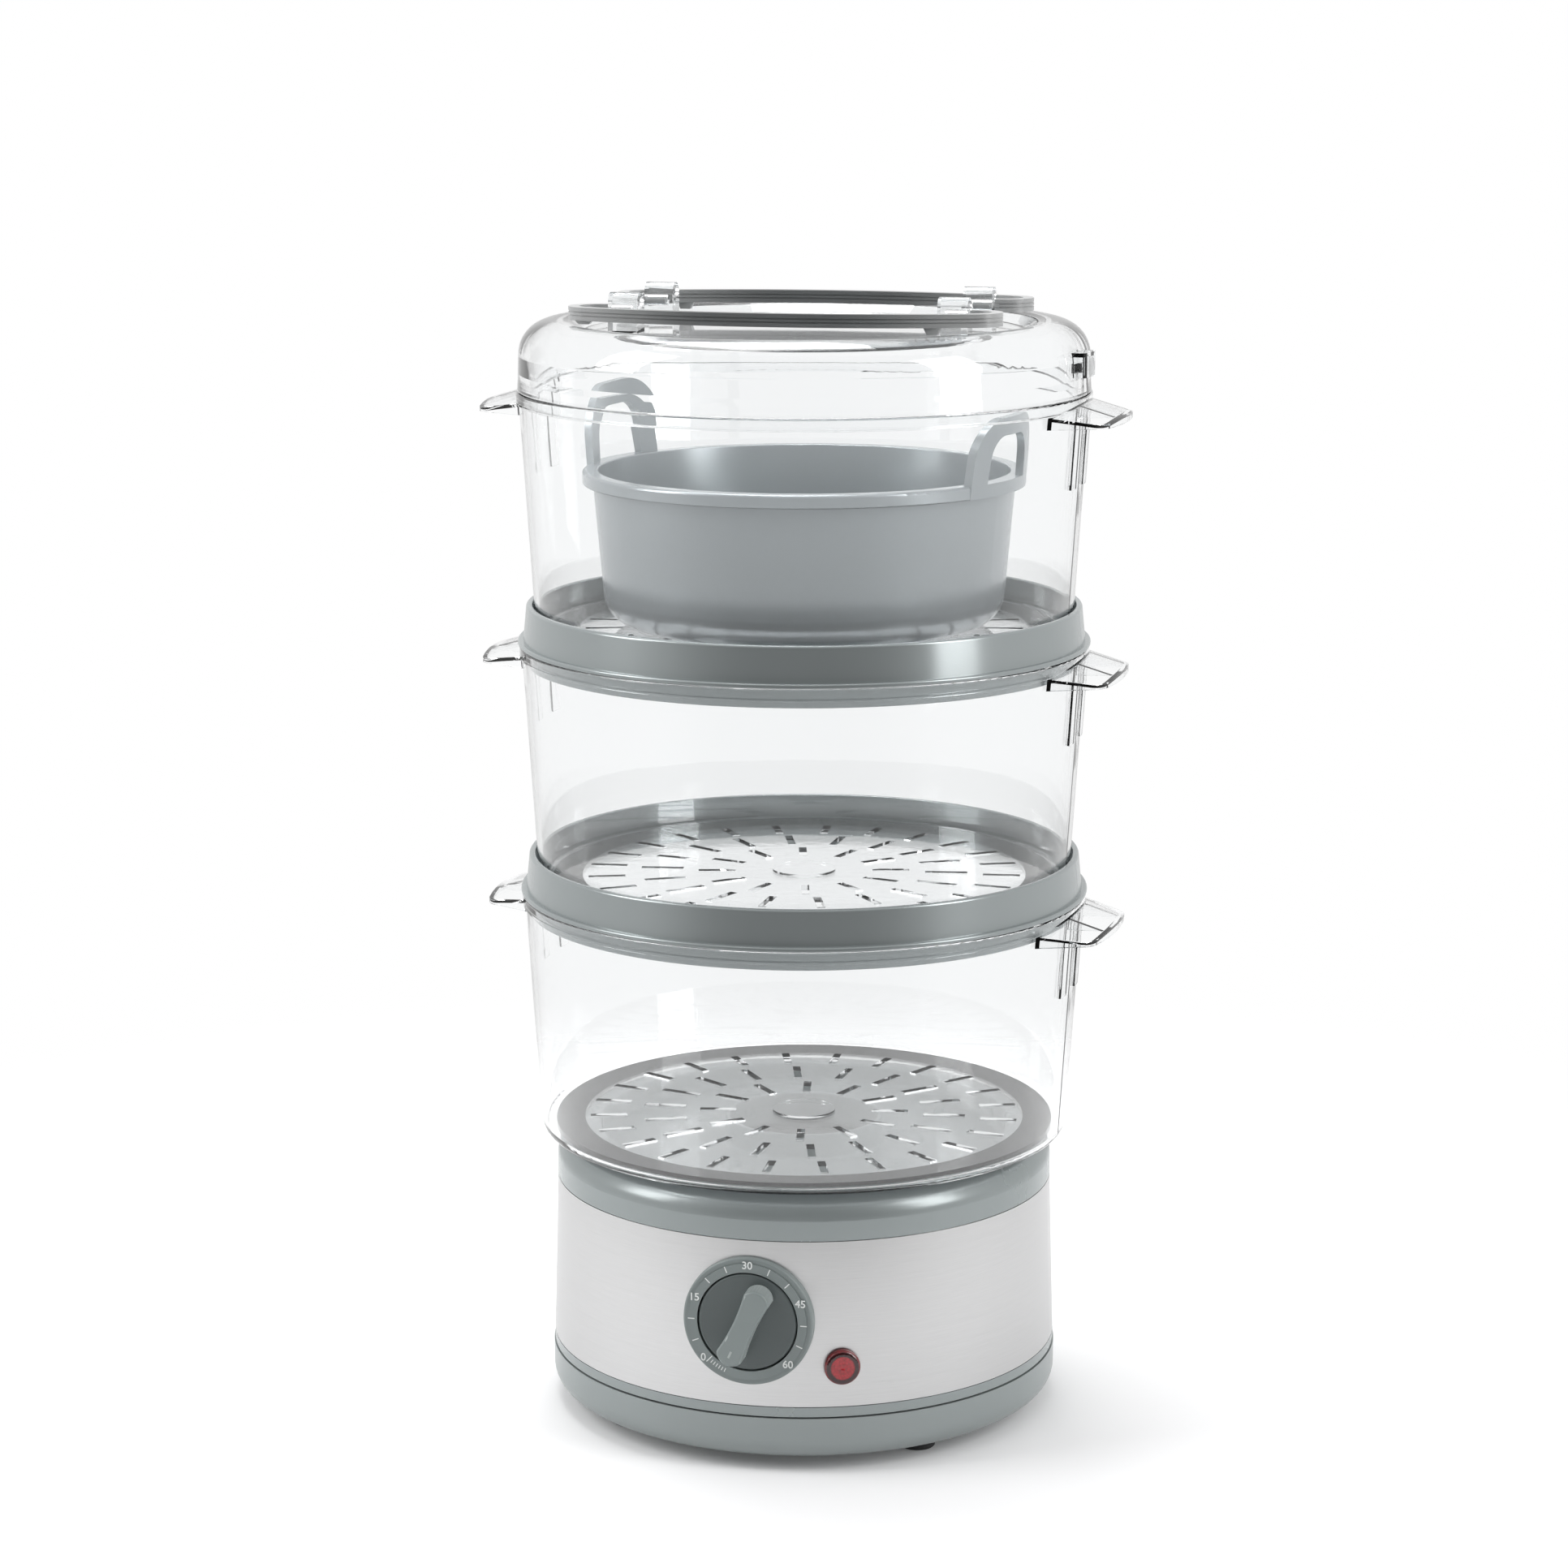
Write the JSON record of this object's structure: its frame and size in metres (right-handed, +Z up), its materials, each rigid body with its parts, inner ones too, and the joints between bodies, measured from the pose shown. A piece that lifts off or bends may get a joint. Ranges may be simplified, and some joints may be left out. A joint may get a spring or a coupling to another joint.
{
  "type": "electric food steamer",
  "caption": "Tiered electric food steamer: round base with timer dial and heater, stacked clear baskets with collars, rice bowl and clear lid with folding handles.",
  "frame": {"origin": "on the table under the axis of the stack", "axes": "+Z up along the stack, -Y the side with the timer dial, +X to its right"},
  "size_m": [0.243, 0.2144, 0.4246],
  "materials": {
    "foot_rubber": "matt",
    "pan_plastic": "satin",
    "screw_steel": "zinc",
    "grommet_rubber": "matt",
    "housing_plastic": "glossy",
    "band_steel": "brushed round the base",
    "dial_plastic": "satin",
    "knob_plastic": "satin",
    "grip_plastic": "satin",
    "shaft_steel": "ground",
    "timer_case": "matt",
    "bell_chrome": "plated",
    "lamp_red": "clear red",
    "neon_glass": "clear",
    "heater_metal": "cast",
    "seal_rubber": "silicone",
    "clamp_steel": "zinc",
    "thermostat_case": "matt",
    "fuse_case": "plain",
    "ring_plastic": "glossy",
    "tray_plastic": "glossy",
    "bowl_plastic": "glossy",
    "lid_clear": "clear",
    "handle_plastic": "satin",
    "basket_clear": "clear",
    "floor_clear": "clear",
    "collar_plastic": "glossy"
  },
  "bodies": {
    "base": {"feet": "foot_rubber", "base_pan": "pan_plastic", "base_screws": "screw_steel", "cord_grommet": "grommet_rubber", "housing": "housing_plastic", "steel_band": "band_steel", "dial_ring": "dial_plastic", "timer": "timer_case", "timer_bell": "bell_chrome", "lamp_lens": "lamp_red", "neon_lamp": "neon_glass", "heater_plate": "heater_metal", "heater_seal": "seal_rubber", "heater_clamp": "clamp_steel", "thermostat": "thermostat_case", "thermal_fuse": "fuse_case", "steam_ring": "ring_plastic"},
    "timer_knob": {"timer_knob": "knob_plastic", "knob_grip": "grip_plastic", "timer_shaft": "shaft_steel"},
    "drip_tray": {"drip_tray": "tray_plastic"},
    "basket_1": {"basket_1": "basket_clear", "basket_floor_1": "floor_clear"},
    "collar_1": {"collar_1": "collar_plastic"},
    "basket_2": {"basket_2": "basket_clear", "basket_floor_2": "floor_clear"},
    "collar_2": {"collar_2": "collar_plastic"},
    "basket_3": {"basket_3": "basket_clear", "basket_floor_3": "floor_clear"},
    "rice_bowl": {"rice_bowl": "bowl_plastic"},
    "lid": {"lid": "lid_clear"},
    "handle_front": {"lid_handle_front": "handle_plastic"},
    "handle_back": {"lid_handle_back": "handle_plastic"}
  },
  "joints": [
    {"name": "timer_turn", "type": "hinge", "parent": "base", "child": "timer_knob", "pos_m": [0, -0.095, 0.0582], "axis": [0, 1, 0], "range_deg": [0, 290]},
    {"name": "drip_tray_lift", "type": "slide", "parent": "base", "child": "drip_tray", "axis": [0, 0, 1], "range_m": [0, 0.12]},
    {"name": "basket_1_lift", "type": "slide", "parent": "drip_tray", "child": "basket_1", "axis": [0, 0, 1], "range_m": [0, 0.12]},
    {"name": "collar_1_lift", "type": "slide", "parent": "basket_1", "child": "collar_1", "axis": [0, 0, 1], "range_m": [0, 0.12]},
    {"name": "basket_2_lift", "type": "slide", "parent": "collar_1", "child": "basket_2", "axis": [0, 0, 1], "range_m": [0, 0.12]},
    {"name": "collar_2_lift", "type": "slide", "parent": "basket_2", "child": "collar_2", "axis": [0, 0, 1], "range_m": [0, 0.12]},
    {"name": "basket_3_lift", "type": "slide", "parent": "collar_2", "child": "basket_3", "axis": [0, 0, 1], "range_m": [0, 0.12]},
    {"name": "rice_bowl_lift", "type": "slide", "parent": "basket_3", "child": "rice_bowl", "axis": [0, 0, 1], "range_m": [0, 0.12]},
    {"name": "lid_lift", "type": "slide", "parent": "rice_bowl", "child": "lid", "axis": [0, 0, 1], "range_m": [0, 0.12]},
    {"name": "handle_front_fold", "type": "hinge", "parent": "lid", "child": "handle_front", "pos_m": [0, -0.0265, 0.4178], "axis": [-1, 0, 0], "range_deg": [0, 90]},
    {"name": "handle_back_fold", "type": "hinge", "parent": "lid", "child": "handle_back", "pos_m": [0, 0.0265, 0.4178], "axis": [1, 0, 0], "range_deg": [0, 90]}
  ]
}
